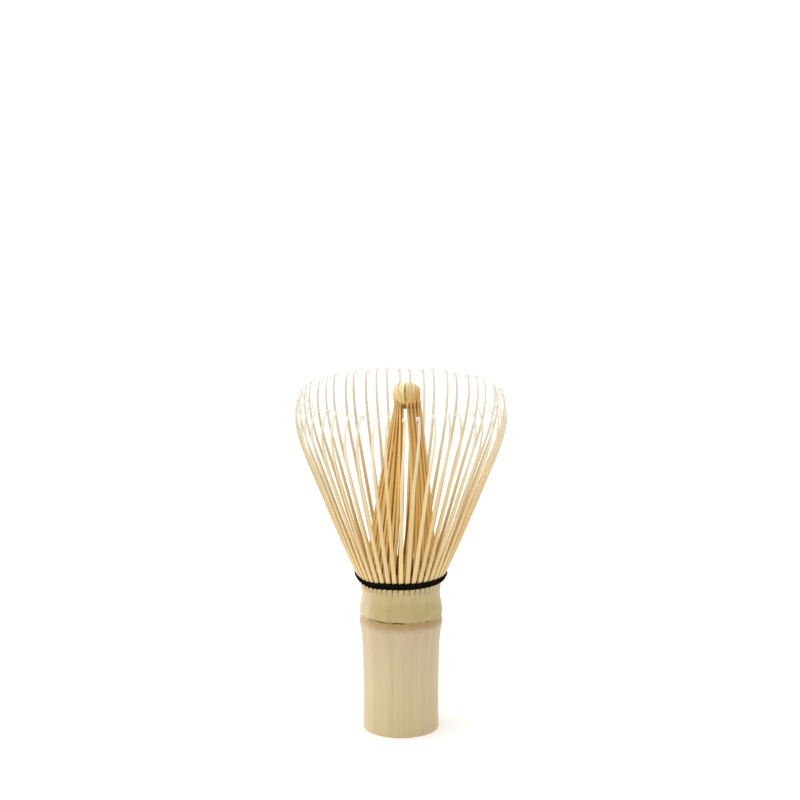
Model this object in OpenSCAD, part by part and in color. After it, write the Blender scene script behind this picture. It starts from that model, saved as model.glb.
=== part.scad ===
// Bamboo tea whisk, millimetres, +Z up.
// The origin is the centre of the handle's foot, on the axis of the hollow culm.
// A length of bamboo is the handle. Its upper end is split into strips, and each strip into
// stout outer tines and finer inner ones. A black thread is woven round the outer tines and
// keeps the two rings apart. The inner tines lean together and curl into a whorl at the top.

/* [Handle] */
// Outer diameter at the waist of the grip
handle_d = 23.9; // [22:0.1:26]
// Diameter of the natural hollow below the diaphragm
hollow_d = 17; // [14:0.5:18]
// Height at which the culm's wall is split into tines
split_z = 46.8; // [46:0.2:48]
// Rounding of the sawn edge at the foot
foot_round = 0.5; // [0.2:0.1:0.8]

/* [Diaphragm] */
// Height of the diaphragm's underside
diaphragm_z = 36.2; // [35:0.1:37]
// Thickness of the diaphragm at its rim
diaphragm_t = 1.8; // [1:0.1:2]

/* [Tines] */
// Strips that the culm's wall is first split into
splits = 16; // [12:1:16]
// Outer tines in each strip, with as many inner ones behind them
tines_per_split = 3; // [2:1:3]
// Height of the thread's middle
thread_z = 50.5; // [50:0.1:52]
// Height of the outer tines' highest point
outer_top = 111; // [106:0.5:116]
// Largest diameter of the outer ring
ring_d = 66.4; // [60:0.2:70]
// Lean of the outer tines from upright, in degrees
outer_lean = 22.2; // [20:0.1:23]
// Extra lean where the outer tines leave the thread, in degrees
splay = 5; // [0:0.5:6]
// How much wider the splitting is at the front (-Y) than on average, as a share
front_share = 0.1; // [0:0.01:0.12]
// Width of an outer tine at the thread
outer_w = 1.3; // [0.9:0.05:1.4]
// Width of an inner tine at the thread
inner_w = 0.8; // [0.6:0.05:0.9]

/* [Whorl] */
// Height of the whorl's underside, where the inner tines go into it
whorl_z = 106.4; // [104:0.2:108]
// Height of the whorl
whorl_h = 6.8; // [5:0.1:8]
// Diameter of the whorl
whorl_d = 9.4; // [9.2:0.1:11]
// Sideways offset of the whorl from the axis
whorl_x = 2.1; // [0:0.1:2.2]

/* [Thread] */
// Diameter of the thread
thread_d = 0.56; // [0.4:0.02:0.6]

/* [Hidden] */
$fn = 64;
handle_r = handle_d / 2;
hollow_r = hollow_d / 2;
tines = splits * tines_per_split;
pitch = 360 / tines;

// Wall of the culm: rise of the outline over the waist's radius, at each height. The two
// highest points are the ridges of the bamboo's node, with the sheath scar between them.
node_z = 37.4;
culm_outline = [
  [0, 0.10], [9, 0], [18, 0.06], [24.5, 0.2], [29.5, 0.42], [33, 0.75],
  [35.2, 1.10], [node_z - 0.6, 0.98], [node_z, 0.80], [node_z + 0.5, 1.0], [39.4, 1.17],
  [41.4, 0.90], [43.4, 0.52], [44.8, 0.42], [split_z, 0.60]
];
outline_steps = 4;

// Inside of the culm above the diaphragm
seat_r = hollow_r + 0.5;
cup_z = 42;
rim_inner_r = 10.85;

// Outline of the diaphragm, from below and from above, as [share of its radius, how far the
// face is hollowed there]
diaphragm_under = [[0, 0.5], [0.5, 0.35], [1, 0]];
diaphragm_upper = [[1, 0], [0.8, 0.15], [0, 0.45]];

// Outer tines: middle of the strip at the root, at the thread and where the shoulder starts,
// then width and thickness of the strip at those places and up to the tip
outer_root_r = 12.05;
outer_thread_r = 13.3;
shoulder_below_top = 23;
shoulder_inside_ring = 4.35;
shoulder_z = outer_top - shoulder_below_top;
shoulder_r = ring_d / 2 - shoulder_inside_ring;
outer_root_w = 1.42;
outer_shoulder_w = 0.98;
outer_bend_w = 0.72;
outer_tip_w = 0.46;
outer_root_t = 0.9;
outer_thread_t = 0.8;
outer_shoulder_t = 0.6;
outer_bend_t = 0.42;
outer_tip_t = 0.3;

// Its curve: how far it keeps its direction at the root, over the thread, before the shoulder
// and after it, the bend and the tip under the top of the ring, how much lower and further to
// the right (+X) the tips are in front, and the hook at its end
root_rise = 2;
flare_rise = 8;
lean_rise = 12;
shoulder_rise = 8.9;
bend_out = 0.3;
bend_below_top = 6.4;
tip_below_top = 0.9;
tip_in_mean = 1.4;
tip_in_share = 0.8;
front_drop = 0.8;
front_sway = 0.9;
hook_r = 0.6;
hook_turn = 130;

// Inner tines: two layers at the top, gathered into two sheaves with a gap between them. The
// right sheaf (+X) is the larger one at the top, and halfway up the gap bends to the right.
inner_root_r = 11.27;
inner_thread_r = 11.2;
inner_root_w = 0.95;
inner_top_w = 0.45;
inner_root_t = 0.68;
inner_thread_t = 0.6;
inner_top_t = 0.34;
neck_r = [3.95, 3.2];
sheaf_gap = 10;
sheaf_turn = 17;
sheaf_lean = 1.4;
sheaf_bow = 0.5;
inner_bow = 0.5;

// How far hand splitting moves a tine, at the most: outwards, down, sideways at the shoulder,
// sideways at the tip, and round the ring in degrees for an inner one
spread_most = 0.45;
drop_most = 0.35;
shoulder_sway_most = 0.35;
tip_sway_most = 0.8;
inner_turn_most = 0.4;

// Whorl: height of its widest place, radius of its underside, and roundness of its top
belly_z = 2.6;
whorl_under_r = 4.6;
dome_power = 0.6;

// Thread: half the distance between the courses, the strands in a course as shares of the
// thread's diameter, and the sides of its round sections
course_half_gap = 0.54;
strand_half_gap = 0.45;
link_share = 0.7;
upper_strand_out = 0.08;
thread_sides = 24;

// Knot: its size, its place over the thread's middle and inside the outer tines, and its ends
knot_r = 0.64;
knot_angle = 92;
knot_rise = 1.35;
knot_inside = 1.1;
tail_turn = 38;
tail_lean = 4;
tail_length = 5;

function two(n) = n < 10 ? str("0", n) : str(n);
outer_names = [for (s = [1:splits]) str("outer_tines_", two(s))];
inner_names = [for (s = [1:splits]) str("inner_tines_", two(s))];

// Repeatable unevenness of hand splitting, from -1 to 1, for trait k of tine i. Large steps of
// a sine look random but are always the same.
tine_step = 97;
trait_step = 61;
trait_start = 40;
function uneven(i, k) = sin(i * (tine_step + trait_step * k) + trait_start * k);

// Angle of place i round the ring, counted from the front, and the width share of a tine there
function place_angle(i) = i * pitch - 90 + front_share * 180 / PI * sin(i * pitch);
function place_share(i) = 1 + front_share * cos(i * pitch);

// Cubic curve through p[0] and p[3] with p[1] and p[2] as handles, and its direction
function curve(p, t) =
  pow(1 - t, 3) * p[0] + 3 * pow(1 - t, 2) * t * p[1] + 3 * (1 - t) * t * t * p[2] + pow(t, 3) * p[3];
function curve_dir(p, t) =
  pow(1 - t, 2) * (p[1] - p[0]) + 2 * (1 - t) * t * (p[2] - p[1]) + t * t * (p[3] - p[2]);
function unit(v) = v / norm(v);

// Smooth line through the outline's points, with outline_steps points for each stretch
function smooth_point(a, b, c, d, t) =
  0.5 * ((2 * b) + (c - a) * t + (2 * a - 5 * b + 4 * c - d) * t * t + (3 * b - a - 3 * c + d) * t * t * t);
function smooth_line(p) = [
  for (i = [0:len(p) - 2], k = [0:outline_steps - 1])
    smooth_point(p[max(i - 1, 0)], p[i], p[i + 1], p[min(i + 2, len(p) - 1)], k / outline_steps),
  p[len(p) - 1]
];

// A tine is a strip with an oblong section. A station is [place, direction, angle, width,
// thickness]: the width lies along the ring at that angle, the thickness across the strip.
function corners(s) =
  let (
    side = [-sin(s[2]), cos(s[2]), 0],
    out = unit(cross(side, s[1])),
    half_w = side * s[3] / 2,
    half_t = out * s[4] / 2
  )
  [s[0] - half_w - half_t, s[0] + half_w - half_t, s[0] + half_w + half_t, s[0] - half_w + half_t];

module strip(stations) {
  n = len(stations);
  polyhedron(
    points = [for (s = stations) each corners(s)],
    faces = [
      [0, 1, 2], [0, 2, 3],
      for (r = [0:n - 2], c = [0:3])
        let (a = 4 * r + c, b = 4 * r + (c + 1) % 4)
        each [[a, a + 4, b + 4], [a, b + 4, b]],
      [4 * n - 4, 4 * n - 2, 4 * n - 3], [4 * n - 4, 4 * n - 1, 4 * n - 2]
    ]
  );
}

// Middle line of an outer tine in the plane of its angle, as [radius, height]: its foot up to
// the thread, its stalk, and its shoulder. spread and drop are how far the shoulder stands out
// and the top sinks, and tip_in is how far the tip leans back in.
function foot_curve() = [
  [outer_root_r, split_z], [outer_root_r, split_z + root_rise],
  [outer_thread_r - root_rise * tan(outer_lean + splay), thread_z - root_rise],
  [outer_thread_r, thread_z]
];
function stalk_curve(spread) = [
  [outer_thread_r, thread_z],
  [outer_thread_r + flare_rise * tan(outer_lean + splay), thread_z + flare_rise],
  [shoulder_r + spread / 2 - lean_rise * tan(outer_lean), shoulder_z - lean_rise],
  [shoulder_r + spread / 2, shoulder_z]
];
function shoulder_curve(spread, drop, tip_in) = [
  [shoulder_r + spread / 2, shoulder_z],
  [shoulder_r + spread / 2 + shoulder_rise * tan(outer_lean), shoulder_z + shoulder_rise],
  [ring_d / 2 + bend_out + tip_in / 2 + spread, outer_top - bend_below_top - drop],
  [ring_d / 2 - tip_in + spread, outer_top - tip_below_top - drop]
];

// Turns a point of that plane to the tine's angle, with a sideways sway
function placed(p, angle, sway = 0) =
  [p[0] * cos(angle) - sway * sin(angle), p[0] * sin(angle) + sway * cos(angle), p[1]];
function turned(d, angle) = [d[0] * cos(angle), d[0] * sin(angle), d[1]];

// Stations of one stretch of an outer tine, with width and thickness from the first to the last
function stretch(line, angle, steps, sway, w, t) = [
  for (f = steps)
    [placed(curve(line, f), angle, sway[0] + (sway[1] - sway[0]) * f),
     turned(curve_dir(line, f), angle), angle, w[0] + (w[1] - w[0]) * f, t[0] + (t[1] - t[0]) * f]
];

function outer_stations(i) =
  let (
    root_angle = place_angle(i),
    share = place_share(i),
    spread = spread_most * uneven(i, 2),
    drop = drop_most * (1 + uneven(i, 3)) + front_drop * (1 + cos(i * pitch)) / 2,
    tip_in = tip_in_mean + tip_in_share * cos(i * pitch),
    shoulder_sway = shoulder_sway_most * uneven(i, 1),
    in_front = pow((1 + cos(i * pitch)) / 2, 4),
    tip_sway = shoulder_sway + tip_sway_most * uneven(i, 4) + front_sway * in_front,
    shoulder = shoulder_curve(spread, drop, tip_in),
    end = curve_dir(shoulder, 1),
    end_lean = atan2(-end[0], end[1]),
    centre = shoulder[3] + hook_r * [-cos(end_lean), -sin(end_lean)]
  )
  [
    each stretch(foot_curve(), root_angle, [0, 0.5, 1], [0, 0],
                 share * [outer_root_w, outer_w], [outer_root_t, outer_thread_t]),
    each stretch(stalk_curve(spread), root_angle, [1 / 3, 2 / 3], [0, shoulder_sway],
                 [share * outer_w, outer_shoulder_w], [outer_thread_t, outer_shoulder_t]),
    each stretch(shoulder, root_angle, [0 : 1 / 6 : 1], [shoulder_sway, tip_sway],
                 [outer_shoulder_w, outer_bend_w], [outer_shoulder_t, outer_bend_t]),
    for (k = [1:4])
      let (lean = end_lean + hook_turn * k / 4, f = k / 4)
      [placed(centre + hook_r * [cos(lean), sin(lean)], root_angle, tip_sway),
       turned([-sin(lean), cos(lean)], root_angle), root_angle,
       outer_bend_w + (outer_tip_w - outer_bend_w) * f, outer_bend_t + (outer_tip_t - outer_bend_t) * f]
  ];

// Angle at which an inner tine goes into the whorl, in the right or in the left sheaf. Half the
// gap is sheaf_gap, and its middle is sheaf_turn round from the front and from the back.
function neck_angle(i) =
  let (a = place_angle(i + 0.5))
  a < 90
    ? a * (90 + sheaf_turn - sheaf_gap) / 90
    : 180 + (a - 180) * (90 - sheaf_turn - sheaf_gap) / 90;

function inner_stations(i) =
  let (
    angle = place_angle(i + 0.5) + inner_turn_most * uneven(i, 5),
    top_angle = neck_angle(i),
    root = placed([inner_root_r, split_z], angle),
    low = placed([inner_thread_r, thread_z], angle),
    top = [whorl_x, 0, 0] + placed([neck_r[i % 2], whorl_z], top_angle),
    rise = unit(top - low),
    side = cos(angle) < 0 ? -1 : 1,
    apart = (sheaf_lean + sheaf_bow * side) * (1 - abs(cos(angle)))
  )
  [
    [root, [0, 0, 1], angle, inner_root_w, inner_root_t],
    [low, unit(rise + [0, 0, 1]), angle, inner_w, inner_thread_t],
    for (f = [0.12, 0.3, 0.5, 0.7, 0.86])
      let (a = angle + (top_angle - angle) * f * f)
      [low + (top - low) * f + sin(180 * f) * [inner_bow * cos(a) + apart, inner_bow * sin(a), 0], rise, a,
       inner_w + (inner_top_w - inner_w) * f, inner_thread_t + (inner_top_t - inner_thread_t) * f],
    [top, [0, 0, 1], top_angle, inner_top_w, inner_top_t]
  ];

module handle() {
  outside = [for (p = smooth_line(culm_outline)) [handle_r + p[1], p[0]]];
  color([0.82, 0.74, 0.55])
    rotate_extrude()
      polygon(concat(
        [[hollow_r, 0], [outside[0][0] - foot_round, 0],
         [outside[0][0] - (1 - cos(45)) * foot_round, (1 - cos(45)) * foot_round],
         [outside[0][0], foot_round]],
        [for (p = outside) if (p[1] > foot_round) p],
        [[rim_inner_r, split_z], [seat_r, cup_z], [seat_r, diaphragm_z], [hollow_r, diaphragm_z]]
      ));
}

// The natural wall across the culm at its node, thinner and hollowed towards the middle
module node_diaphragm() {
  color([0.80, 0.70, 0.48])
    rotate_extrude()
      polygon(concat(
        [for (p = diaphragm_under) [seat_r * p[0], diaphragm_z + p[1]]],
        [for (p = diaphragm_upper) [seat_r * p[0], diaphragm_z + diaphragm_t - p[1]]]
      ));
}

module outer_tines(split) {
  color([0.85, 0.72, 0.48])
    for (k = [0:tines_per_split - 1])
      strip(outer_stations(split * tines_per_split + k));
}

module inner_tines(split) {
  color([0.78, 0.60, 0.33])
    for (k = [0:tines_per_split - 1])
      strip(inner_stations(split * tines_per_split + k));
}

// The curled ends of the inner tines, drawn as one closed solid of their outer shape
module inner_tip_whorl() {
  r = whorl_d / 2;
  color([0.88, 0.78, 0.52])
    translate([whorl_x, 0, whorl_z])
      rotate_extrude()
        polygon(concat(
          [[0, 0]],
          [for (a = [0:15:90]) [r - (r - whorl_under_r) * cos(a), belly_z * sin(a)]],
          [for (a = [15:15:90]) [r * pow(cos(a), dome_power), belly_z + (whorl_h - belly_z) * sin(a)]]
        ));
}

// One course of the weave: two strands outside the outer tines, one strand between them and
// the inner tines, and a strand through every gap
outer_half_t = outer_thread_t / 2 / cos(outer_lean + splay);
function outer_face(z) = outer_thread_r + (z - thread_z) * tan(outer_lean + splay) + outer_half_t;
module course(z) {
  outside_r = outer_face(z) + thread_d / 2;
  inside_r = outer_face(z) - 2 * outer_half_t - thread_d / 2;
  color([0.10, 0.09, 0.08])
    union() {
      rotate_extrude() {
        translate([outside_r, z - thread_d * strand_half_gap])
          circle(d = thread_d, $fn = thread_sides);
        translate([outside_r + upper_strand_out, z + thread_d * strand_half_gap])
          circle(d = thread_d, $fn = thread_sides);
        translate([inside_r, z])
          circle(d = thread_d, $fn = thread_sides);
      }
      for (i = [0:tines - 1])
        rotate([0, 0, place_angle(i + 0.5)])
          translate([inside_r, 0, z])
            rotate([0, 90, 0])
              cylinder(d = thread_d * link_share, h = outside_r - inside_r, $fn = thread_sides);
    }
}

// The knot that ties the thread off, in the gap between the two rings, with its cut ends
module thread_knot() {
  knot_z = thread_z + knot_rise;
  color([0.10, 0.09, 0.08])
    rotate([0, 0, knot_angle])
      translate([outer_face(knot_z) - 2 * outer_half_t - knot_inside, 0, knot_z]) {
        sphere(r = knot_r, $fn = thread_sides);
        for (side = [-1, 1])
          rotate([side * tail_turn, tail_lean, 0])
            cylinder(d = thread_d, h = tail_length, $fn = thread_sides);
      }
}

handle();
node_diaphragm();
course(thread_z - course_half_gap);  // thread_lower_course
course(thread_z + course_half_gap);  // thread_upper_course
thread_knot();
inner_tip_whorl();
for (s = [0:splits - 1]) outer_tines(s);
for (s = [0:splits - 1]) inner_tines(s);
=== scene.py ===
# %% [markdown]
# # A bamboo tea whisk
# The real whisk is one length of dried bamboo and one black thread. The lower part of the
# bamboo is the handle. The longer upper part is split into strips, and each strip into outer
# tines, which flare out, and inner tines, which lean together and curl into a whorl.
# The imported model gives the size and place of every piece, so the first cell loads it, and the
# next one reads the sizes from the boxes of its nodes.

# %% Load the frame
import math

import bmesh
import bpy
import numpy as np
from mathutils import Matrix, Vector


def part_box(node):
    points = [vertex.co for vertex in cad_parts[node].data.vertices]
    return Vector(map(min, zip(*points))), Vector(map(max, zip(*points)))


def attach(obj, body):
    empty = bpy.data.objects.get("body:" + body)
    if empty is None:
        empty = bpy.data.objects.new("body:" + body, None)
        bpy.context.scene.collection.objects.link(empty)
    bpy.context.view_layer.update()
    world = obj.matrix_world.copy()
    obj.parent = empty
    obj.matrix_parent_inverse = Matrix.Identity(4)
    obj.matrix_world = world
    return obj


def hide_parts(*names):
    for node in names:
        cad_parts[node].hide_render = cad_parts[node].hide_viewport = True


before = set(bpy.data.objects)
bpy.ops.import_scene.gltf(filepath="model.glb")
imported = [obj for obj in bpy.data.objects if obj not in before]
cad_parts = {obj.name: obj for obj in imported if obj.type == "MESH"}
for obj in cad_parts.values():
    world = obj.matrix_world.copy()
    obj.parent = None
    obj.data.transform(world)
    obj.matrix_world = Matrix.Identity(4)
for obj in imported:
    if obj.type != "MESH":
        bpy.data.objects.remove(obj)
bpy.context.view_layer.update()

# %% [markdown]
# ## Sizes
# Blender works in metres, but a whisk is easier to think of in millimetres. So the lines and
# sections below are in millimetres, and each piece is scaled to metres when it is kept.
# The driving sizes come from the frame. The rest are the whisk's own proportions.

# %% Measure the frame in millimetres
MM = 0.001


def box_mm(node):
    """Lowest and highest corner of a node of the frame, in millimetres."""
    low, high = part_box(node)
    return low / MM, high / MM


collar = box_mm("handle")[1]
split_z = collar.z
ridge_r = collar.x
whorl_low, whorl_high = box_mm("inner_tip_whorl")
whorl_x = (whorl_low.x + whorl_high.x) / 2
whorl_z = whorl_low.z
course_low = box_mm("thread_lower_course")[0].z
course_high = box_mm("thread_upper_course")[1].z
thread_z = (course_low + course_high) / 2
splits = sum(name.startswith("outer_tines_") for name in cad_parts)
PER_SPLIT = 3
TINES = splits * PER_SPLIT
OUTER_TOP = 111.0
RING_R = 33.2
print("split at", round(split_z, 2), "thread at", round(thread_z, 2), "whorl at", round(whorl_z, 2))

# %% [markdown]
# ## The rule of the hand-split ring
# A maker splits the wall by eye, so no two tines are alike. A sine with a large step looks
# random but always gives the same answer, which keeps every run of this script the same.
# The strips are also a little wider at the front of this whisk than at its back.

# %% Place each tine
FRONT = -math.pi / 2
FRONT_SHARE = 0.1
# Degrees of the sine from one tine to the next and from one trait to the next
TINE_STEP = 97
TRAIT_STEP = 61
TRAIT_START = 40


def uneven(i, trait):
    """A number from -1 to 1 that stays the same for this tine and trait."""
    return math.sin(math.radians(i * (TINE_STEP + TRAIT_STEP * trait) + TRAIT_START * trait))


def towards_front(i):
    """1 for a place at the front of the ring, -1 for one at its back."""
    return math.cos(2 * math.pi * i / TINES)


def place_angle(i):
    """Angle of place i round the ring, counted from the front."""
    turn = 2 * math.pi * i / TINES
    return FRONT + turn + FRONT_SHARE * math.sin(turn)


def place_share(i):
    """How wide the split is there, against the average."""
    return 1 + FRONT_SHARE * towards_front(i)


def radial(angle):
    return Vector((math.cos(angle), math.sin(angle), 0))


def tangent(angle):
    return Vector((-math.sin(angle), math.cos(angle), 0))


def from_front(angle):
    """Degrees round from the front, from -180 to 180, with the right side above 0."""
    return (math.degrees(angle - FRONT) + 180) % 360 - 180


def bell(away, width):
    """1 in the middle, and falling to 0 on both sides."""
    return math.exp(-((away / width) ** 2))


spacing = [math.degrees(place_angle(i + 1) - place_angle(i)) for i in (0, TINES // 4, TINES // 2)]
print(TINES, "tines, spaced", [round(step, 2) for step in spacing], "degrees")

# %% [markdown]
# ## Lines
# A tine or a thread is a section carried along a line. Two kinds of line are enough: a Bezier
# arc, where the ends' directions matter, and a smooth line through chosen points.

# %% Two kinds of line
def bend(start, handle_1, handle_2, end, steps):
    """Points of a Bezier arc, its start included and its end left out."""
    points = []
    for k in range(steps):
        t = k / steps
        s = 1 - t
        points.append(s**3 * start + 3 * s**2 * t * handle_1 + 3 * s * t**2 * handle_2 + t**3 * end)
    return points


def smooth_line(points, steps):
    """A smooth line through the points, with that many short lengths between each two."""
    line = []
    last = len(points) - 1
    for k in range(last):
        a, b = points[max(k - 1, 0)], points[k]
        c, d = points[k + 1], points[min(k + 2, last)]
        for step in range(steps):
            t = step / steps
            square = (2 * a - 5 * b + 4 * c - d) * t**2
            cube = (3 * b - a - 3 * c + d) * t**3
            line.append(0.5 * (2 * b + (c - a) * t + square + cube))
    return line + [points[-1]]


# %% [markdown]
# ## Sweeping a section
# Blender's curves can be given a bevel shape and a radius at each point, but then width and
# thickness shrink together, and on a tine they don't. So here a flat grid is rolled up into a
# tube round the line: one way across the grid goes round the section, and the other goes along
# the line. The seam is then merged and the ends are filled. Four numbers are stored on every
# point, so that the materials can follow the fibres: how far along the tine it is, where across
# its width, whether on the skin or on the split side, and which tine it belongs to.

# %% Sweep a section along a line
TRAITS = ("along", "across", "skin", "strand")
SEAM = 0.00001
# How square a strip's corners are: 1 is an oval, and 0 an oblong
CORNERS = 0.42
# How far a thread's outline dips between its two plies
PLY_DIP = 0.1


def strip_section(turn):
    """Outline of a split strip: an oblong with small rounded corners."""
    x, y = math.cos(turn), math.sin(turn)
    return math.copysign(abs(x) ** CORNERS, x), math.copysign(abs(y) ** CORNERS, y)


def plied_section(turn):
    """Outline of a thread of two plies."""
    reach = 1 - PLY_DIP + PLY_DIP * math.cos(2 * turn)
    return reach * math.cos(turn), reach * math.sin(turn)


def sweep(bm, line, outward, width, thickness, strand=0.0, section=strip_section, sides=12, twist=0.0):
    """Rolls a tube round the line. outward, width and thickness are lists, one entry a point."""
    along, across, skin, own = (bm.verts.layers.float[name] for name in TRAITS)
    last = len(line) - 1
    stations = []
    travelled = 0.0
    for k, point in enumerate(line):
        travelled += (point - line[max(k - 1, 0)]).length
        forward = (line[min(k + 1, last)] - line[max(k - 1, 0)]).normalized()
        side = forward.cross(outward[k]).normalized()
        spin = Matrix.Rotation(twist * travelled, 3, forward)
        half_out = spin @ side.cross(forward) * thickness[k] / 2
        half_side = spin @ side * width[k] / 2
        stations.append((point, half_out, half_side, travelled))
    grid = bmesh.ops.create_grid(bm, x_segments=sides, y_segments=last, size=1)["verts"]
    for vert in grid:
        point, out, side, travelled = stations[round((vert.co.y + 1) / 2 * last)]
        x, y = section(math.pi * vert.co.x)
        vert.co = point + out * x + side * y
        vert[along], vert[across], vert[skin], vert[own] = travelled, y * side.length, x, strand
    bmesh.ops.remove_doubles(bm, verts=grid, dist=SEAM)
    kept = [vert for vert in grid if vert.is_valid]
    rims = {edge for vert in kept for edge in vert.link_edges if edge.is_boundary}
    bmesh.ops.holes_fill(bm, edges=list(rims), sides=sides)


def new_sweep_mesh():
    """An empty mesh that can hold the four traits."""
    bm = bmesh.new()
    for name in TRAITS:
        bm.verts.layers.float.new(name)
    return bm


def keep_piece(bm, name, finishes, nodes):
    """Turns a mesh in millimetres into a piece of the whisk that stands for nodes of the frame."""
    bmesh.ops.recalc_face_normals(bm, faces=bm.faces)
    bmesh.ops.scale(bm, vec=(MM, MM, MM), verts=bm.verts)
    for face in bm.faces:
        face.smooth = True
    mesh = bpy.data.meshes.new(name)
    bm.to_mesh(mesh)
    open_edges = sum(not edge.is_manifold for edge in bm.edges)
    bm.free()
    for finish in finishes:
        mesh.materials.append(finish)
    piece = bpy.data.objects.new(name, mesh)
    bpy.context.scene.collection.objects.link(piece)
    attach(piece, "root")
    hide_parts(*nodes)
    print(name, "faces:", len(mesh.polygons), "open edges:", open_edges)


# %% [markdown]
# ## Finishes
# Every finish is made of nodes, with no picture. This small class only shortens the writing of
# nodes: it makes one, sets it up and returns the socket that the next one needs.

# %% Helpers for finishes
def srgb(red, green, blue):
    """A colour as it looks on screen, from 0 to 255, in Blender's linear numbers."""
    linear = []
    for part in (red / 255, green / 255, blue / 255):
        linear.append(part / 12.92 if part <= 0.04045 else ((part + 0.055) / 1.055) ** 2.4)
    return (*linear, 1.0)


class Finish:
    def __init__(self, name, roughness, specular=0.5):
        self.material = bpy.data.materials.new(name)
        self.material.use_nodes = True
        self.tree = self.material.node_tree
        self.shader = self.tree.nodes["Principled BSDF"]
        self.shader.inputs["Roughness"].default_value = roughness
        self.shader.inputs["Specular IOR Level"].default_value = specular

    def node(self, kind, inputs, output=0, **settings):
        """A node with its settings, whose inputs are numbers, colours or other nodes' sockets."""
        made = self.tree.nodes.new("ShaderNode" + kind)
        for key, value in settings.items():
            setattr(made, key, value)
        for key, value in inputs.items():
            if isinstance(value, bpy.types.NodeSocket):
                self.tree.links.new(value, made.inputs[key])
            else:
                made.inputs[key].default_value = value
        return made.outputs[output]

    def trait(self, name):
        return self.node("Attribute", {}, "Fac", attribute_name=name)

    def place(self):
        return self.node("TexCoord", {}, "Object")

    def math(self, operation, a, b=0.0, c=0.0):
        return self.node("Math", {0: a, 1: b, 2: c}, operation=operation)

    def point(self, x, y, z):
        return self.node("CombineXYZ", {0: x, 1: y, 2: z})

    def stretched(self, vector, scale):
        return self.node("Mapping", {"Vector": vector, "Scale": scale})

    def noise(self, vector, scale=1.0, detail=2.0, roughness=0.5):
        inputs = {"Vector": vector, "Scale": scale, "Detail": detail, "Roughness": roughness}
        return self.node("TexNoise", inputs)

    def spread(self, value, low, high, out_low=0.0, out_high=1.0):
        return self.node("MapRange", {0: value, 1: low, 2: high, 3: out_low, 4: out_high})

    def ramp(self, value, stops):
        """Colours along a value. stops are (position, colour)."""
        made = self.tree.nodes.new("ShaderNodeValToRGB")
        elements = made.color_ramp.elements
        elements[0].position, elements[0].color = stops[0]
        elements[1].position, elements[1].color = stops[-1]
        for position, colour in stops[1:-1]:
            elements.new(position).color = colour
        self.tree.links.new(value, made.inputs["Fac"])
        return made.outputs["Color"]

    def mix(self, factor, a, b, blend="MIX"):
        return self.node("Mix", {0: factor, 6: a, 7: b}, 2, data_type="RGBA", blend_type=blend)

    def shaded(self, colour, shade):
        """A colour made darker or lighter by a number near 1."""
        grey = self.node("CombineColor", {0: shade, 1: shade, 2: shade})
        return self.mix(1.0, colour, grey, "MULTIPLY")

    def colour(self, socket):
        self.tree.links.new(socket, self.shader.inputs["Base Color"])

    def rough(self, socket):
        self.tree.links.new(socket, self.shader.inputs["Roughness"])

    def bump(self, height, strength, distance):
        normal = self.node("Bump", {"Height": height, "Strength": strength, "Distance": distance})
        self.tree.links.new(normal, self.shader.inputs["Normal"])


# %% [markdown]
# ## The skin of the culm
# Dried white bamboo keeps its smooth skin: warm beige below the node, greener above it, tan on
# the band of the node, with long fine fibres that show as faint streaks. The dark line is the
# scar where the sheath grew. Its place is stored on the mesh, so the colour follows the shape.

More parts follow.
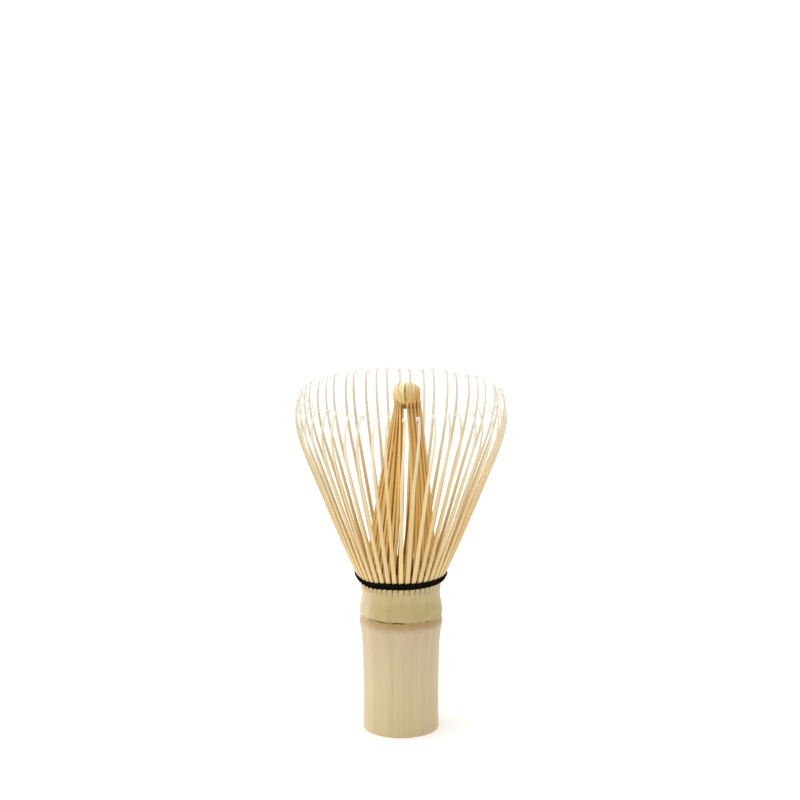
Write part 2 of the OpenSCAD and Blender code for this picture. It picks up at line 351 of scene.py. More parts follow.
# %% Finish of the culm's skin
def culm_skin_finish():
    skin = Finish("culm_skin", 0.45, 0.4)
    place = skin.place()
    specks = skin.noise(skin.stretched(place, (900, 900, 700)), detail=3)
    ragged = skin.noise(skin.stretched(place, (260, 260, 60)), detail=3)
    level = skin.math("ADD", skin.trait("level"), skin.spread(ragged, 0.3, 0.7, -0.45, 0.45))
    zones = skin.ramp(skin.math("DIVIDE", level, split_z), [
        (0.0, srgb(203, 184, 142)),
        (0.30, srgb(206, 186, 146)),
        (0.62, srgb(203, 182, 147)),
        (0.735, srgb(200, 178, 144)),
        (0.760, srgb(191, 165, 127)),
        (0.774, srgb(183, 152, 106)),
        (0.800, srgb(175, 146, 96)),
        (0.818, srgb(182, 158, 107)),
        (0.832, srgb(188, 168, 115)),
        (0.90, srgb(189, 168, 115)),
        (1.0, srgb(197, 176, 128)),
    ])
    broad = skin.noise(skin.stretched(place, (190, 190, 9)), detail=3)
    green = skin.mix(skin.spread(broad, 0.42, 0.25, 0, 0.5), zones, srgb(232, 240, 208), "MULTIPLY")
    warm = skin.mix(skin.spread(broad, 0.55, 0.72, 0, 0.6), green, srgb(252, 232, 224), "MULTIPLY")
    near_node = skin.math("MULTIPLY", skin.spread(level, 34.4, 36.2), skin.spread(level, 39.4, 38.2))
    spotted = skin.math("MULTIPLY", near_node, skin.spread(specks, 0.56, 0.72, 0, 0.5))
    speckled = skin.mix(spotted, warm, srgb(150, 112, 70))
    # The left side of the handle is mixed towards a paler colour, more so above the node: painted light
    # from the left, where the key light falls.
    left_side = skin.spread(skin.node("SeparateXYZ", {0: place}), -0.0085, -0.0125)
    painted_light_left = skin.math("MULTIPLY", left_side, skin.spread(level, 37.0, 39.0, 0.35, 0.7))
    pale = skin.mix(painted_light_left, speckled, srgb(226, 211, 178))
    streaks = skin.noise(skin.stretched(place, (800, 800, 12)), detail=4, roughness=0.6)
    fibres = skin.noise(skin.stretched(place, (3200, 3200, 60)), detail=2)
    broad_shade = skin.spread(streaks, 0.3, 0.7, 0.92, 1.06)
    fine_shade = skin.spread(fibres, 0.3, 0.7, -0.03, 0.03)
    streaked = skin.shaded(pale, skin.math("ADD", broad_shade, fine_shade))
    breaks = skin.noise(skin.stretched(place, (520, 520, 900)), detail=2)
    line = skin.math("MULTIPLY", skin.trait("scar"), skin.spread(breaks, 0.38, 0.50, 0.3, 1.0))
    skin.colour(skin.mix(line, streaked, srgb(58, 38, 20)))
    skin.rough(skin.spread(streaks, 0.3, 0.7, 0.38, 0.55))
    skin.bump(skin.math("ADD", streaks, skin.math("MULTIPLY", fibres, 0.5)), 0.25, 0.00012)
    return skin.material


culm_skin = culm_skin_finish()
print("made", culm_skin.name)

# %% [markdown]
# ## The cut end and the hollow
# Where bamboo is sawn across, its fibre bundles show as fine brown dots. On the real end they
# crowd towards the skin, but here they are spread evenly, as the ring is narrow. The hollow
# inside is dull and pale, and the diaphragm of the frame gets the same finish.

# %% Finish of the sawn end and of the hollow
def end_grain_finish():
    grain = Finish("sawn_end", 0.75, 0.3)
    place = grain.place()
    dots = grain.node("TexVoronoi", {"Vector": grain.stretched(place, (1500, 1500, 200)), "Scale": 1.0})
    cloud = grain.noise(grain.stretched(place, (240, 240, 240)), detail=3)
    wood = grain.ramp(cloud, [(0.3, srgb(206, 182, 134)), (0.7, srgb(226, 207, 166))])
    grain.colour(grain.mix(grain.spread(dots, 0.15, 0.45, 0.6, 0.0), wood, srgb(150, 112, 66)))
    grain.bump(dots, 0.3, 0.00015)
    return grain.material


def hollow_finish():
    wall = Finish("hollow_wall", 0.8, 0.25)
    place = wall.place()
    lines = wall.noise(wall.stretched(place, (1100, 1100, 60)), detail=3)
    film = wall.noise(wall.stretched(place, (190, 190, 150)), detail=4)
    wood = wall.ramp(lines, [(0.3, srgb(205, 178, 124)), (0.7, srgb(226, 203, 154))])
    wall.colour(wall.mix(wall.spread(film, 0.5, 0.75, 0.0, 0.6), wood, srgb(236, 224, 194)))
    wall.bump(lines, 0.3, 0.0002)
    return wall.material


sawn_end = end_grain_finish()
hollow_wall = hollow_finish()
diaphragm_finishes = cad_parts["node_diaphragm"].data.materials
diaphragm_finishes.clear()
diaphragm_finishes.append(hollow_wall)
print("made", sawn_end.name, "and", hollow_wall.name)

# %% [markdown]
# ## The handle
# The handle is round but not turned on a lathe: its outline swells at the node. So its outline
# is spun round once, and then the points near the node are moved a little, to make the ring of
# the node wavy and to sink the scar.

# %% Outline of the culm
RIDGE_RISE = 1.17
WAIST_R = ridge_r - RIDGE_RISE
# (height, how far the wall stands out over its waist)
CULM_OUTLINE = [
    (0, 0.10), (9, 0), (18, 0.06), (24.5, 0.2), (29.5, 0.42), (33, 0.75),
    (35.2, 1.10), (36.8, 0.98), (37.4, 0.80), (37.9, 1.0), (39.4, RIDGE_RISE),
    (41.4, 0.90), (43.4, 0.52), (44.8, 0.42), (split_z, 0.60),
]
HOLLOW_R = 8.5
SEAT_R = 9.0
DIAPHRAGM_Z = 36.2
CUP_Z = 42.0
RIM_INNER_R = 10.85
FOOT_ROUND = 0.5
FOOT_ROUND_STEPS = 5
HOLLOW_EDGE = 0.25
SEAT_H = 0.9
NODE_Z = 37.4
# Radii of the rings across the foot's face and across the top of the collar
FOOT_RINGS = (9.4, 10.4)
COLLAR_RINGS = (11.9, 11.3)

smooth_outline = smooth_line([Vector((WAIST_R + rise, height)) for height, rise in CULM_OUTLINE], 12)


def culm_radius(z):
    return float(np.interp(z, [p.y for p in smooth_outline], [p.x for p in smooth_outline]))


def culm_profile():
    """The wall's outline as (radius, height), from the hollow's edge round the outside and back."""
    grip = np.linspace(0.9, 33.6, 44)
    node = np.linspace(33.9, 40.5, 84)
    neck = np.linspace(40.8, split_z, 20)
    heights = [*grip, *node, *neck[:-1]]
    foot_r = culm_radius(0)
    collar_r = culm_radius(split_z)
    profile = [(r, 0) for r in (HOLLOW_R + HOLLOW_EDGE, *FOOT_RINGS, foot_r - FOOT_ROUND)]
    for step in range(1, FOOT_ROUND_STEPS + 1):
        turn = math.pi / 2 * step / FOOT_ROUND_STEPS
        rounded_r = foot_r - FOOT_ROUND * (1 - math.sin(turn))
        profile.append((rounded_r, FOOT_ROUND * (1 - math.cos(turn))))
    profile += [(culm_radius(z), z) for z in heights] + [(collar_r, split_z - 0.02)]
    profile += [(r, split_z) for r in (collar_r, *COLLAR_RINGS, RIM_INNER_R)]
    profile += [(SEAT_R, z) for z in (CUP_Z, DIAPHRAGM_Z + SEAT_H, DIAPHRAGM_Z)] + [(HOLLOW_R, DIAPHRAGM_Z)]
    profile += [(HOLLOW_R, z) for z in np.linspace(DIAPHRAGM_Z - 0.6, HOLLOW_EDGE, 24)]
    return profile


widest = max(radius for radius, height in culm_profile())
print("outline of", len(culm_profile()), "points, widest", round(widest, 2), "mm")

# %% Shape of the scar
# How dark the broken scar line is, at degrees round from the front
SCAR_AT = [-180, -120, -90, -56, -40, -10, 3, 8, 15, 20, 25, 32, 39, 47, 60, 90, 120, 180]
SCAR_DARK = [0.6, 0.4, 0.3, 0.45, 0.85, 1.0, 1.0, 0.3, 0.6, 0.25, 0.6, 0.15, 0.95, 0.3, 0.3, 0.35, 0.5, 0.6]
# How far it climbs over the lowest line of the node
SCAR_RISE_AT = [-180, -120, -90, -60, -30, 0, 50, 90, 180]
SCAR_RISE = [0, 0.3, 0.45, 1.0, 0.78, 0.6, 0.54, 0.35, 0]
# A short second line over the first one, at the right
SECOND_AT = [45, 58, 85, 100]
SECOND_DARK = [0, 0.4, 0.4, 0]
SECOND_RISE = 1.15


def scar_depth(angle, level):
    """How dark and deep the sheath's scar is there, from 0 to 1."""
    around = from_front(angle)
    dark = np.interp(around, SCAR_AT, SCAR_DARK)
    rise = np.interp(around, SCAR_RISE_AT, SCAR_RISE)
    centre = NODE_Z + rise + 0.05 * math.sin(11 * angle) + 0.04 * math.sin(23 * angle + 2)
    wide = 0.15 + 0.16 * dark * dark + 0.04 * math.sin(5 * angle + 0.6)
    second = np.interp(around, SECOND_AT, SECOND_DARK)
    return max(dark * bell(level - centre, wide), second * bell(level - centre - SECOND_RISE, wide))


# %% Spin the handle and shape its node
AROUND = 192
SAWN_SLOT = 1
HOLLOW_SLOT = 2
# Radii that part the skin's points and faces from those of the ends and the inside
SKIN_POINTS_R = 11.6
SKIN_FACES_R = 11.2
SCAR_DEEP = 0.24
NODE_WAVE = 0.25
LIP_Z = 35.5
LIP_OUT = 0.08


def node_relief(angle, level):
    """How far the skin stands out near the node, as its ring isn't quite round and has a lip."""
    edge = level - LIP_Z - 0.08 * math.sin(4 * angle)
    lip = LIP_OUT / (1 + math.exp(-edge / 0.12)) * math.exp(-max(level - LIP_Z, 0) / 1.6)
    swell = 0.06 * math.sin(2 * angle + 0.7) + 0.03 * math.sin(5 * angle)
    return swell, lip


def make_handle():
    bm = bmesh.new()
    level_layer = bm.verts.layers.float.new("level")
    scar_layer = bm.verts.layers.float.new("scar")
    ring = [bm.verts.new((r, 0, z)) for r, z in culm_profile()]
    edges = [bm.edges.new((ring[k], ring[(k + 1) % len(ring)])) for k in range(len(ring))]
    bmesh.ops.spin(
        bm, geom=ring + edges, cent=(0, 0, 0), axis=(0, 0, 1), dvec=(0, 0, 0),
        angle=2 * math.pi, steps=AROUND, use_merge=True, use_duplicate=False,
    )
    for vert in bm.verts:
        level = vert.co.z
        angle = math.atan2(vert.co.y, vert.co.x)
        reach = vert.co.xy.length
        vert[level_layer] = level
        if reach < SKIN_POINTS_R:
            continue
        depth = scar_depth(angle, level)
        vert[scar_layer] = depth
        near_node = bell(level - 37, 4.0)
        swell, lip = node_relief(angle, level)
        out = reach + near_node * swell + lip - SCAR_DEEP * depth
        vert.co.x, vert.co.y = out * math.cos(angle), out * math.sin(angle)
        vert.co.z += NODE_WAVE * math.cos(2 * (angle - FRONT)) * near_node
    for face in bm.faces:
        centre = face.calc_center_median()
        reach = centre.xy.length
        if reach < SKIN_FACES_R and centre.z > 0.2 or centre.z > split_z - 0.1:
            face.material_index = HOLLOW_SLOT
        elif centre.z < 0.3:
            face.material_index = SAWN_SLOT
    keep_piece(bm, "bamboo_handle", [culm_skin, sawn_end, hollow_wall], ["handle"])


make_handle()

# %% [markdown]
# ## Finish of the tines
# The outside of each outer tine keeps the culm's smooth skin, and its sides show the golden
# flesh. Near the tip the maker shaves it very thin, and it is paler there, but the almost white of
# the tips is also a painted highlight of strong light on them. The noise is read along the tine,
# far longer than wide, so it looks like fibres wherever the tine bends.

# %% Finishes of the split bamboo
def split_bamboo_finish(name, skin_stops, flesh_stops, tint, length, roughness):
    """The stops are colours along the tine, from 0 at its root to 1 at its tip. Half of the tines
    take something of the tint between their ends."""
    split = Finish(name, roughness, 0.4)
    along, across, own = split.trait("along"), split.trait("across"), split.trait("strand")
    share = split.math("DIVIDE", along, length)
    inwards = split.spread(split.trait("skin"), 0.75, -0.3)
    body = split.mix(inwards, split.ramp(share, skin_stops), split.ramp(share, flesh_stops))
    middle = split.math("MULTIPLY", split.spread(share, 0.04, 0.3), split.spread(share, 1.0, 0.85))
    tinted_share = split.math("MULTIPLY", split.spread(own, 0.45, 1.0), middle)
    tinted = split.mix(tinted_share, body, tint, "MULTIPLY")
    fibre_x = split.math("MULTIPLY", across, 3.2)
    fibre_y = split.math("MULTIPLY", own, 90.0)
    fibre_z = split.math("MULTIPLY", along, 0.05)
    fibres = split.noise(split.point(fibre_x, fibre_y, fibre_z), 2.2, 4, 0.6)
    tone_x = split.math("MULTIPLY", own, 37.0)
    tone_z = split.math("MULTIPLY", along, 0.02)
    tone = split.noise(split.point(tone_x, 0.5, tone_z), 1.0, 1)
    fibre_shade = split.spread(fibres, 0.3, 0.7, 0.90, 1.07)
    tone_shade = split.spread(tone, 0.3, 0.7, -0.08, 0.06)
    split.colour(split.shaded(tinted, split.math("ADD", fibre_shade, tone_shade)))
    split.rough(split.spread(fibres, 0.3, 0.7, roughness - 0.08, roughness + 0.1))
    split.bump(fibres, 0.3, 0.0001)
    return split.material


OUTER_LENGTH = 71
INNER_LENGTH = 61
WHORL_HIGH = whorl_high.z - whorl_z
# The stops end almost white at the tips: paler shaved bamboo, and partly a painted highlight.
outer_bamboo = split_bamboo_finish("outer_tine_bamboo", [
    (0.0, srgb(195, 174, 126)),
    (0.04, srgb(203, 180, 130)),
    (0.10, srgb(230, 200, 139)),
    (0.35, srgb(227, 199, 142)),
    (0.62, srgb(229, 207, 160)),
    (0.82, srgb(237, 222, 186)),
    (0.93, srgb(245, 236, 212)),
    (1.0, srgb(250, 246, 232)),
], [
    (0.0, srgb(205, 176, 122)),
    (0.35, srgb(224, 198, 146)),
    (0.62, srgb(231, 216, 180)),
    (0.8, srgb(236, 228, 206)),
    (1.0, srgb(250, 246, 234)),
], srgb(252, 242, 226), OUTER_LENGTH, 0.45)
# The first stops are dark brown near the root: painted shade deep in the slits between the outer tines. The
# last stops darken towards the neck: painted shade under the whorl.
inner_bamboo = split_bamboo_finish("inner_tine_bamboo", [
    (0.0, srgb(112, 84, 44)),
    (0.045, srgb(136, 104, 56)),
    (0.07, srgb(233, 196, 124)),
    (0.4, srgb(231, 191, 110)),
    (0.8, srgb(229, 190, 111)),
    (0.93, srgb(226, 185, 109)),
    (1.0, srgb(210, 166, 94)),
], [
    (0.0, srgb(112, 84, 44)),
    (0.045, srgb(136, 104, 56)),
    (0.07, srgb(234, 196, 124)),
    (0.5, srgb(236, 197, 118)),
    (0.93, srgb(228, 187, 110)),
    (1.0, srgb(210, 166, 94)),
], srgb(244, 224, 188), INNER_LENGTH, 0.5)
# These stops run with height on the whorl: brown low down as painted shade under the bun, almost white at
# the top as painted light from above.
curl_bamboo = split_bamboo_finish("curled_tip_bamboo", [
    (0.0, srgb(210, 166, 94)),
    (0.1, srgb(214, 172, 102)),
    (0.22, srgb(229, 196, 121)),
    (0.55, srgb(228, 200, 137)),
    (0.8, srgb(241, 226, 172)),
    (1.0, srgb(250, 242, 200)),
], [
    (0.0, srgb(190, 146, 80)),
    (1.0, srgb(230, 208, 156)),
], srgb(236, 196, 132), WHORL_HIGH, 0.45)
print("made", outer_bamboo.name, inner_bamboo.name, curl_bamboo.name)

# %% [markdown]
# ## The outer tines
# From its root an outer tine bows out to the thread, flares in a long straight, rounds its
# shoulder and leans back in, and its shaved tip curls into a small hook. The tines are as wide
# as their places at the root and narrower above, so the slits between them close in a V. Each
# of the 16 strips of the split wall is one piece with its three tines.

# %% Sizes of an outer tine
# Middle of the strip at its root and at the thread, and its thickness there
ROOT_R = 12.05
OUTER_THREAD_R = 13.3
ROOT_THICK = 1.02
THREAD_THICK = 0.8
ROOT_SINK = 0.5
LEAN = math.radians(22.2)
SPLAY = math.radians(5)
SHOULDER_Z = OUTER_TOP - 23
SHOULDER_R = RING_R - 4.35
# How far the line keeps its direction at the root, over the thread, and before and after the
# shoulder
ROOT_RISE = 2
FLARE_RISE = 8
LEAN_RISE = 12
SHOULDER_RISE = 8.9
# The bend over the shoulder and the tip, under the top of the ring
BEND_OUT = 0.3
BEND_BELOW_TOP = 6.4
TIP_BELOW_TOP = 0.9
# How far hand splitting moves a tine: outwards at the most, down on average (none to twice this),
# and sideways at the most, at the shoulder and again at the tip
SPREAD_MOST = 0.45
DROP_MEAN = 0.35
SHOULDER_SWAY = 0.35
TIP_SWAY = 0.8
HOOK_R = 0.6
HOOK_TURN = math.radians(235)
HOOK_STEPS = 12
HOOK_ASIDE = 0.6
HOOK_RUN = 0.2
FRONT_DROP = 0.8
FRONT_SWAY = 0.9
TIP_IN = 1.4
TIP_IN_SHARE = 0.8


# %% Middle line of an outer tine
def outer_line(i):
    """Middle line of outer tine i as (radius, height) pairs from root to tip."""
    spread = SPREAD_MOST * uneven(i, 2)
    front = towards_front(i)
    drop = DROP_MEAN * (1 + uneven(i, 3)) + FRONT_DROP * (1 + front) / 2
    tip_in = TIP_IN + TIP_IN_SHARE * front
    leave = math.tan(LEAN + SPLAY)
    lean = math.tan(LEAN)
    root, low = Vector((ROOT_R, split_z)), Vector((OUTER_THREAD_R, thread_z))
    shoulder = Vector((SHOULDER_R + spread / 2, SHOULDER_Z))
    tip = Vector((RING_R - tip_in + spread, OUTER_TOP - TIP_BELOW_TOP - drop))
    over = Vector((RING_R + BEND_OUT + tip_in / 2 + spread, OUTER_TOP - BEND_BELOW_TOP - drop))
    up_root, into_thread = Vector((0, ROOT_RISE)), Vector((ROOT_RISE * leave, ROOT_RISE))
    flare, straight = Vector((FLARE_RISE * leave, FLARE_RISE)), Vector((LEAN_RISE * lean, LEAN_RISE))
    line = [root - Vector((ROOT_SINK / 5, ROOT_SINK))]
    line += bend(root, root + up_root, low - into_thread, low, 8)
    line += bend(low, low + flare, shoulder - straight, shoulder, 14)
    line += bend(shoulder, shoulder + Vector((SHOULDER_RISE * lean, SHOULDER_RISE)), over, tip, 16)
    return line + [tip]


def curl_tip(line, angle):
    """Adds the curl at the end of a tine: inwards, and a little towards the whisk's middle line."""
    forward = (line[-1] - line[-2]).normalized()
    inward = -radial(angle) - Vector((math.copysign(HOOK_ASIDE, math.cos(angle)), 0, 0))
    inward = (inward - forward * inward.dot(forward)).normalized()
    tip = line[-1]
    faces = [radial(angle).lerp(-inward, (n / len(line)) ** 6) for n in range(len(line))]
    for step in range(1, HOOK_STEPS + 1):
        turn = HOOK_TURN * step / HOOK_STEPS
        tight = HOOK_R * (1 - 0.2 * step / HOOK_STEPS)
        out = forward * math.sin(turn) - inward * math.cos(turn)
        line.append(tip + inward * HOOK_R + tight * out)
        faces.append(out)
    return faces


# %% Make the outer tines
def make_outer_strip(split):
    bm = new_sweep_mesh()
    for k in range(PER_SPLIT):
        i = split * PER_SPLIT + k
        angle = place_angle(i)
        flat = outer_line(i)
        heights = [p.y for p in flat]
        shoulder_sway = SHOULDER_SWAY * uneven(i, 1)
        in_front = ((1 + towards_front(i)) / 2) ** 4
        tip_sway = shoulder_sway + TIP_SWAY * uneven(i, 4) + FRONT_SWAY * in_front
        line = []
        for p in flat:
            sway = np.interp(p.y, [thread_z, SHOULDER_Z, OUTER_TOP], [0, shoulder_sway, tip_sway])
            line.append(radial(angle) * p.x + tangent(angle) * sway + Vector((0, 0, p.y)))
        faces = curl_tip(line, angle)
        run = heights + [heights[-1] + HOOK_RUN * step for step in range(1, HOOK_STEPS + 1)]
        share = place_share(i)
        slit_z = split_z + 0.35 + 0.45 * uneven(i, 11)
        upper = [SHOULDER_Z, OUTER_TOP - 5, OUTER_TOP + 3]
        lower = [split_z, slit_z, thread_z - 1, thread_z + 0.5]
        lower_width = [1.85 * share, 1.64 * share, 1.24 * share, 1.3 * share]
        width = np.interp(run, lower + upper, lower_width + [0.98, 0.74, 0.46])
        thickness = np.interp(run, [split_z, thread_z] + upper, [ROOT_THICK, THREAD_THICK, 0.6, 0.42, 0.28])
        sweep(bm, line, faces, width, thickness, strand=(uneven(i, 9) + 1) / 2)
    node = f"outer_tines_{split + 1:02d}"
    keep_piece(bm, f"flared_strip_{split + 1:02d}", [outer_bamboo], [node])


for split in range(splits):
    make_outer_strip(split)

# %% [markdown]
# ## The inner tines
# The inner tines come up behind the gaps of the outer ones and lean to the middle. They gather
# in two sheaves with a long gap between them, through which light shows. The right sheaf is the
# larger one at the top. The upper ends stand in two layers round a neck, where the whorl starts.

# %% Middle line of an inner tine
INNER_ROOT_R = 11.27
INNER_THREAD_R = 11.2
NECK_R = (3.95, 3.2)
SHEAF_GAP = math.radians(10)
SHEAF_TURN = math.radians(17)
SHEAF_LEAN = 1.4
SHEAF_BOW = 0.5
INNER_BOW = 0.5
INNER_TURN = math.radians(0.4)
INNER_STEPS = 22
UNDER_THREAD = 1.6


def neck_angle(i):
    """Angle at which inner tine i reaches the neck, in the right or in the left sheaf."""
    angle = place_angle(i + 0.5)
    quarter = math.pi / 2
    if angle < quarter:
        return angle * (quarter + SHEAF_TURN - SHEAF_GAP) / quarter
    return math.pi + (angle - math.pi) * (quarter - SHEAF_TURN - SHEAF_GAP) / quarter


def neck_place(i):
    return Vector((whorl_x, 0, whorl_z)) + radial(neck_angle(i)) * NECK_R[i % 2]


def inner_line(i):
    """Middle line of inner tine i and the direction in which its flat side faces."""
    angle = place_angle(i + 0.5) + INNER_TURN * uneven(i, 5)
    root = radial(angle) * INNER_ROOT_R
    low = radial(angle) * INNER_THREAD_R + Vector((0, 0, thread_z))
    top = neck_place(i)
    line = bend(
        root + Vector((0, 0, split_z)), root + Vector((0, 0, split_z + ROOT_RISE)),
        low - (top - low).normalized() * UNDER_THREAD, low, 4,
    )
    faces = [radial(angle)] * len(line)
    apart = (SHEAF_LEAN + math.copysign(SHEAF_BOW, math.cos(angle))) * (1 - abs(math.cos(angle)))
    for step in range(INNER_STEPS + 1):
        f = step / INNER_STEPS
        here = angle + (neck_angle(i) - angle) * f * f
        bow = radial(here) * INNER_BOW + Vector((apart, 0, 0))
        line.append(low.lerp(top, f) + bow * math.sin(math.pi * f))
        faces.append(radial(here))
    return line, faces


# %% Make the inner tines
def make_inner_strip(split):
    bm = new_sweep_mesh()
    for k in range(PER_SPLIT):
        i = split * PER_SPLIT + k
        line, faces = inner_line(i)
        heights = [p.z for p in line]
        width = np.interp(heights, [split_z, thread_z, thread_z + 10, whorl_z], [0.95, 0.9, 0.95, 0.6])
        thickness = np.interp(heights, [split_z, thread_z, whorl_z], [0.68, 0.6, 0.4])
        sweep(bm, line, faces, width, thickness, strand=(uneven(i, 6) + 1) / 2)
    node = f"inner_tines_{split + 1:02d}"
    keep_piece(bm, f"gathered_strip_{split + 1:02d}", [inner_bamboo], [node])


for split in range(splits):
    make_inner_strip(split)

# %% [markdown]
# ## The whorl
# At the neck each inner tine is shaved to a ribbon. The ribbons are laid over each other towards
# the front and tucked in there, so the top looks like a small bun. Each ribbon here comes out
# of the neck, climbs the bun on its own side, and comes down to the same place low in front,
# where its end goes in between the sheaves. The path is first drawn as directions from the bun's
# middle and then put on its surface. In two places the ribbons part and leave a crack.

# %% Curl the ends of the inner tines
BUN = Vector((4.2, 4.2, 3.2))
BUN_MIDDLE = Vector((-0.4, -0.7, 3.25))
BUN_POWER = 2.4
TUCK = Vector((-0.06, -0.78, -0.95))
# Where the ribbons part, as the heading to the right, and how far in millimetres
CRACKS = ((0.0, 0.35), (-0.42, 0.2))
CRACK_WIDE = 0.2
# Where along a ribbon the crack is, and how long
CRACK_AT = 0.79
CRACK_LONG = 0.11
# The ribbons lie in three layers, each sunk this much further
LAYER_SINK = 0.12
RIBBON_STEPS = 14


def bun_place(direction, sink):
    """The place in that direction from the bun's middle, sunk under its surface."""
    size = sum(abs(part) ** BUN_POWER for part in direction) ** (1 / BUN_POWER)
    reach = BUN - Vector((sink, sink, sink))
    scaled = Vector([part * far for part, far in zip(direction, reach)])
    return BUN_MIDDLE + scaled / size


def parting(across):
    """How far a ribbon that heads that far to the right is pushed aside."""
    return sum(math.copysign(push, across - at) * bell(across - at, CRACK_WIDE) for at, push in CRACKS)


def curl_line(i):
    """Path of the ribbon of inner tine i, from the neck over the bun to its tucked end."""
    start = neck_place(i) - Vector((whorl_x, 0, whorl_z))
    heading = radial(place_angle(i + 0.5))
    back = (1 + heading.y) / 2
    sink = LAYER_SINK * (i % 3) + (0.5 if back < 0.06 else 0.0)
    edge = heading + Vector((0, 0, -0.35))
    crown = Vector((0.5 * heading.x, 0.2 * (back - 0.5), 1.0)) * (0.85 + 0.5 * back)
    tuck = TUCK + Vector((0.22 * heading.x, 0, 0.16 * abs(heading.x) + 0.05 * uneven(i, 9)))
    points = [start - Vector((0, 0, 0.9)), start + radial(neck_angle(i)) * 0.1]
    for step in range(RIBBON_STEPS + 1):
        t = step / RIBBON_STEPS
        aside = parting(heading.x) * bell(t - CRACK_AT, CRACK_LONG)
        place = bun_place((1 - t) ** 2 * edge + 2 * t * (1 - t) * crown + t**2 * tuck, sink)
        points.append(place + Vector((aside, 0, 0)))
    # The last two points hang each end down inside the neck, under the bun. There the whorl's low brown is
    # painted shade that fills the gap between the sheaves.
    points.append(bun_place(tuck + Vector((0, 0.1, -0.35)), sink + 1.0))
    points.append(Vector((-0.9 + 0.6 * heading.x, -1.2 + 0.5 * heading.y, -1.2 + 0.3 * uneven(i, 7))))
    return smooth_line([Vector((whorl_x, 0, whorl_z)) + point for point in points], 3)


# %% Make the whorl
def make_whorl():
    """All ribbons of the whorl. Its colour follows the height and not the way along a ribbon:
    painted light makes the top almost white, and painted shade makes the low ribbons brown under the bun.
    """
    bm = new_sweep_mesh()
    heart = Vector((whorl_x, 0, whorl_z)) + BUN_MIDDLE
    for i in range(TINES):
        line = curl_line(i)
        faces = [point - heart for point in line]
        run = np.linspace(0, 1, len(line))
        width = np.interp(run, [0, 0.2, 0.35, 0.6, 0.73, 1], [0.6, 0.75, 1.1, 1.1, 0.75, 0.4])
        thickness = np.interp(run, [0, 0.3, 1], [0.4, 0.36, 0.24])
        # The strand number grows to the right, so the right side of the whorl takes the darker tint:
        # painted shade on the side away from the light.
        strand = 0.54 + 0.38 * math.cos(place_angle(i + 0.5)) + 0.12 * uneven(i, 6)
        sweep(bm, line, faces, width, thickness, strand=strand)
    along = bm.verts.layers.float["along"]
    for vert in bm.verts:
        vert[along] = vert.co.z - whorl_z
    keep_piece(bm, "curled_whorl", [curl_bamboo], ["inner_tip_whorl"])


make_whorl()

# %% [markdown]
# ## The thread
# The thread keeps the outer tines apart from the inner ones. It is sewn as a stem stitch: over
# two outer tines, in through the gap, back behind one, and out again, in two courses. Each
# course is swept along the stitches' real path. The section has two plies and turns on its way.

# %% Finish of the thread
def thread_finish():
    cotton = Finish("black_cotton", 0.95, 0.08)
    along = cotton.trait("along")
    fuzz = cotton.noise(cotton.stretched(cotton.place(), (4200, 4200, 4200)), detail=3)
    worn = cotton.noise(cotton.point(cotton.math("MULTIPLY", along, 0.4), 0, 0), 1.0, 2)
    dark = cotton.ramp(fuzz, [(0.3, srgb(12, 9, 6)), (0.7, srgb(24, 19, 13))])
    cotton.colour(cotton.mix(cotton.spread(worn, 0.5, 0.8, 0, 0.4), dark, srgb(34, 27, 19)))
    cotton.bump(fuzz, 0.5, 0.00008)
    return cotton.material


black_cotton = thread_finish()
THREAD_D = 0.76
THREAD_SIDES = 8
# The plies turn once in this length
PLY_LENGTH = 2.4
PLY_TURN = 2 * math.pi / PLY_LENGTH
OUTER_HALF = THREAD_THICK / 2 / math.cos(LEAN + SPLAY)


def tine_face(z):
    """Radius of the outer tines' outward face at the thread."""
    return OUTER_THREAD_R + (z - thread_z) * math.tan(LEAN + SPLAY) + OUTER_HALF


def lay_thread(bm, line, up, thick):
    """Sweeps a two-ply thread along the line."""
    size = [thick] * len(line)
    sweep(bm, line, up, size, size, section=plied_section, sides=THREAD_SIDES, twist=PLY_TURN)


# %% Sew the two courses
STITCH_RISE = 0.85
COURSES_UP = 0.12
COURSE_HALF_GAP = 0.58
SIDE_CLOSE = 0.7
PRESSED = 0.16
SAG = 0.75
SAG_AT = -50
SAG_WIDE = 24


def course_line(side, first):
    """The path of the lower (-1) or upper (1) course, which starts and ends at gap number first.
    The courses lie closer together at the sides, sag at the front left, and are pressed a little
    into the tines."""
    points = []

    def add(place, reach, rise):
        angle = place_angle(place)
        closer = SIDE_CLOSE + (1 - SIDE_CLOSE) * abs(math.sin(angle))
        sag = SAG * bell(from_front(angle) - SAG_AT, SAG_WIDE)
        height = thread_z + COURSES_UP - sag + side * COURSE_HALF_GAP * closer + rise * STITCH_RISE
        points.append(radial(angle) * (tine_face(height) + reach) + Vector((0, 0, height)))

    half = THREAD_D / 2 - PRESSED
    inside = -2 * OUTER_HALF - half
    for n in range(TINES):
        gap = first + n + 0.5
        add(gap, -OUTER_HALF, -0.5)
        add(gap + 0.5, half, -0.36)
        add(gap + 1, half + 0.08, 0.0)
        add(gap + 1.5, half, 0.36)
        add(gap + 2, -OUTER_HALF, 0.5)
        add(gap + 1.5, inside, 0.1)
    return smooth_line(points, 5)


def make_course(name, side, first, node):
    bm = new_sweep_mesh()
    line = course_line(side, first)
    lay_thread(bm, line, [Vector((0, 0, 1))] * len(line), THREAD_D)
    keep_piece(bm, name, [black_cotton], [node])


BACK_GAP = TINES // 2
make_course("sewn_course_lower", -1, BACK_GAP, "thread_lower_course")
make_course("sewn_course_upper", 1, BACK_GAP, "thread_upper_course")

# %% [markdown]
# ## The knot
# The thread is tied off at the back, between the two rings. An overhand knot drawn tight is a
# trefoil, so the knot is a small trefoil with a cut end on each side.

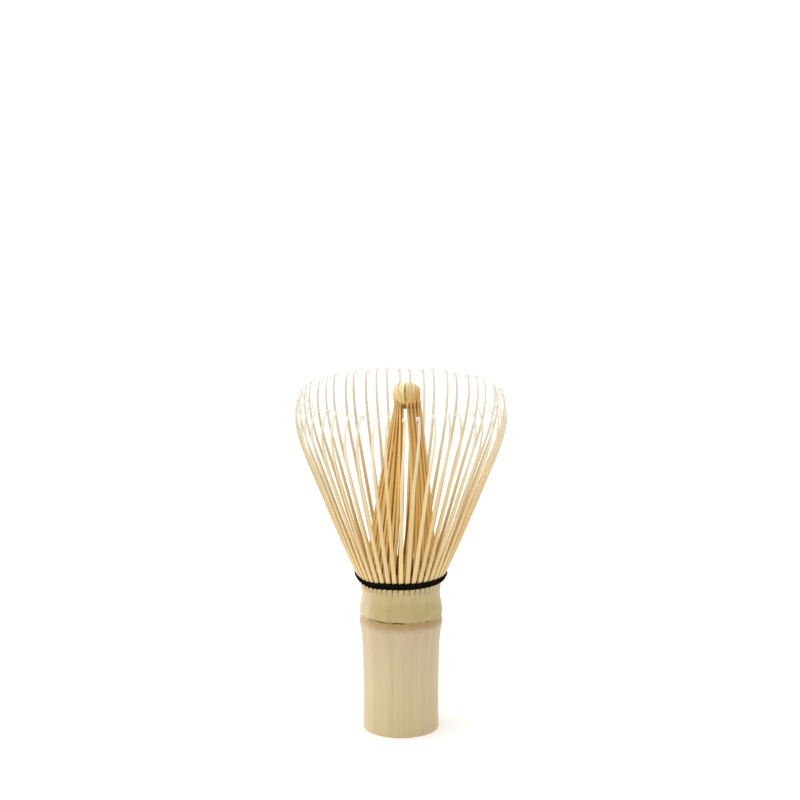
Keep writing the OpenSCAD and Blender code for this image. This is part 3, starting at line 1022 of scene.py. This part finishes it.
# %% Tie the knot
KNOT_ANGLE = math.radians(92)
KNOT_Z = thread_z + 1.35
KNOT_INSIDE = 1.1
KNOT_STEPS = 60
KNOT_SIZE = 0.2
KNOT_DEPTH = 0.22
KNOT_THICK = 0.42
TAIL_THICK = 0.5
# A cut end from the knot's middle: (sideways, up, outwards)
TAIL = [(0.9, 0.9, 0.0), (1.9, 2.2, 0.2), (3.0, 3.6, 0.25)]


def make_knot():
    bm = new_sweep_mesh()
    knot_r = tine_face(KNOT_Z) - 2 * OUTER_HALF - KNOT_INSIDE
    centre = radial(KNOT_ANGLE) * knot_r + Vector((0, 0, KNOT_Z))
    side, up, out = tangent(KNOT_ANGLE), Vector((0, 0, 1)), radial(KNOT_ANGLE)
    loop = []
    for step in range(KNOT_STEPS + 1):
        turn = 2 * math.pi * step / KNOT_STEPS
        x = math.sin(turn) + 2 * math.sin(2 * turn)
        y = math.cos(turn) - 2 * math.cos(2 * turn)
        loop.append(centre + KNOT_SIZE * (side * x + up * y) + KNOT_DEPTH * out * math.sin(3 * turn))
    lay_thread(bm, loop, [p - centre for p in loop], KNOT_THICK)
    for way in (-1, 1):
        points = [centre + side * way * x + up * y + out * z for x, y, z in TAIL]
        tail = smooth_line([centre, *points], 8)
        lay_thread(bm, tail, [out] * len(tail), TAIL_THICK)
    keep_piece(bm, "thread_tie", [black_cotton], ["thread_knot"])


make_knot()

# %% [markdown]
# ## Floor, light and camera
# The whisk stands on a white table in a white room. The room is darker on the side that the
# camera is on, as a studio is, so a round handle is lightest at its edges. One wide soft sun from
# the upper left gives the handle its shape. The table glows a little, like a light table, so that
# it stays white and nearly without shadow.

# %% White floor
TABLE_GLOW = 0.18
# Half of the table's width, in metres
TABLE_HALF = 8


def floor_finish():
    paper = Finish("white_table", 0.9, 0.1)
    cloud = paper.noise(paper.stretched(paper.place(), (6, 6, 6)), detail=2)
    paper.colour(paper.ramp(cloud, [(0.0, (0.93, 0.93, 0.93, 1)), (1.0, (0.96, 0.96, 0.96, 1))]))
    paper.shader.inputs["Emission Color"].default_value = (1.0, 1.0, 1.0, 1)
    paper.shader.inputs["Emission Strength"].default_value = TABLE_GLOW
    return paper.material


def make_floor():
    bm = bmesh.new()
    bmesh.ops.create_grid(bm, x_segments=2, y_segments=2, size=TABLE_HALF)
    mesh = bpy.data.meshes.new("table_top")
    bm.to_mesh(mesh)
    bm.free()
    mesh.materials.append(floor_finish())
    table_top = bpy.data.objects.new("table_top", mesh)
    bpy.context.scene.collection.objects.link(table_top)


make_floor()

# %% Soft light
WALL_LIGHT = 1.05
NEAR_WALL_LIGHT = 0.6
# The middle of the darker side of the room, and how directly a wall faces it where the light
# starts to fall and where it is lowest
DARK_SIDE = (0.35, -0.93, 0.1)
FALL_START = 0.1
FALL_END = 0.9
world = bpy.data.worlds.new("studio")
bpy.context.scene.world = world
world.use_nodes = True
background = world.node_tree.nodes["Background"]
background.inputs["Color"].default_value = (1.0, 1.0, 1.0, 1)
direction = world.node_tree.nodes.new("ShaderNodeTexCoord")
towards_dark = world.node_tree.nodes.new("ShaderNodeVectorMath")
towards_dark.operation = "DOT_PRODUCT"
towards_dark.inputs[1].default_value = DARK_SIDE
fall_off = world.node_tree.nodes.new("ShaderNodeMapRange")
for socket, value in ((1, FALL_START), (2, FALL_END), (3, WALL_LIGHT), (4, NEAR_WALL_LIGHT)):
    fall_off.inputs[socket].default_value = value
world.node_tree.links.new(direction.outputs["Generated"], towards_dark.inputs[0])
world.node_tree.links.new(towards_dark.outputs["Value"], fall_off.inputs[0])
world.node_tree.links.new(fall_off.outputs[0], background.inputs["Strength"])


def add_sun(name, strength, spread, azimuth, elevation):
    """A soft sun. Azimuth 0 shines from the front, and 90 from the left."""
    light = bpy.data.lights.new(name, "SUN")
    light.energy = strength
    light.angle = math.radians(spread)
    sun = bpy.data.objects.new(name, light)
    a, e = math.radians(azimuth), math.radians(elevation)
    towards = Vector((-math.sin(a) * math.cos(e), -math.cos(a) * math.cos(e), math.sin(e)))
    sun.rotation_euler = towards.to_track_quat("Z", "Y").to_euler()
    bpy.context.scene.collection.objects.link(sun)


add_sun("key_window", strength=0.7, spread=90, azimuth=70, elevation=40)

# %% Camera
CAMERA_BACK = 0.880
CAMERA_UP = 0.3186
CAMERA_ASIDE = -0.0003
CAMERA_TILT = math.radians(13.5)
LENS_MM = 130.5
SENSOR_MM = 36
camera_data = bpy.data.cameras.new("camera")
camera_data.lens = LENS_MM
camera_data.sensor_width = SENSOR_MM
camera = bpy.data.objects.new("camera", camera_data)
camera.location = (CAMERA_ASIDE, -CAMERA_BACK, CAMERA_UP)
camera.rotation_euler = (math.pi / 2 - CAMERA_TILT, 0, 0)
bpy.context.scene.collection.objects.link(camera)
bpy.context.scene.camera = camera
bpy.context.scene.view_settings.view_transform = "Standard"
print("camera", round(math.hypot(CAMERA_BACK, CAMERA_UP), 3), "m away")
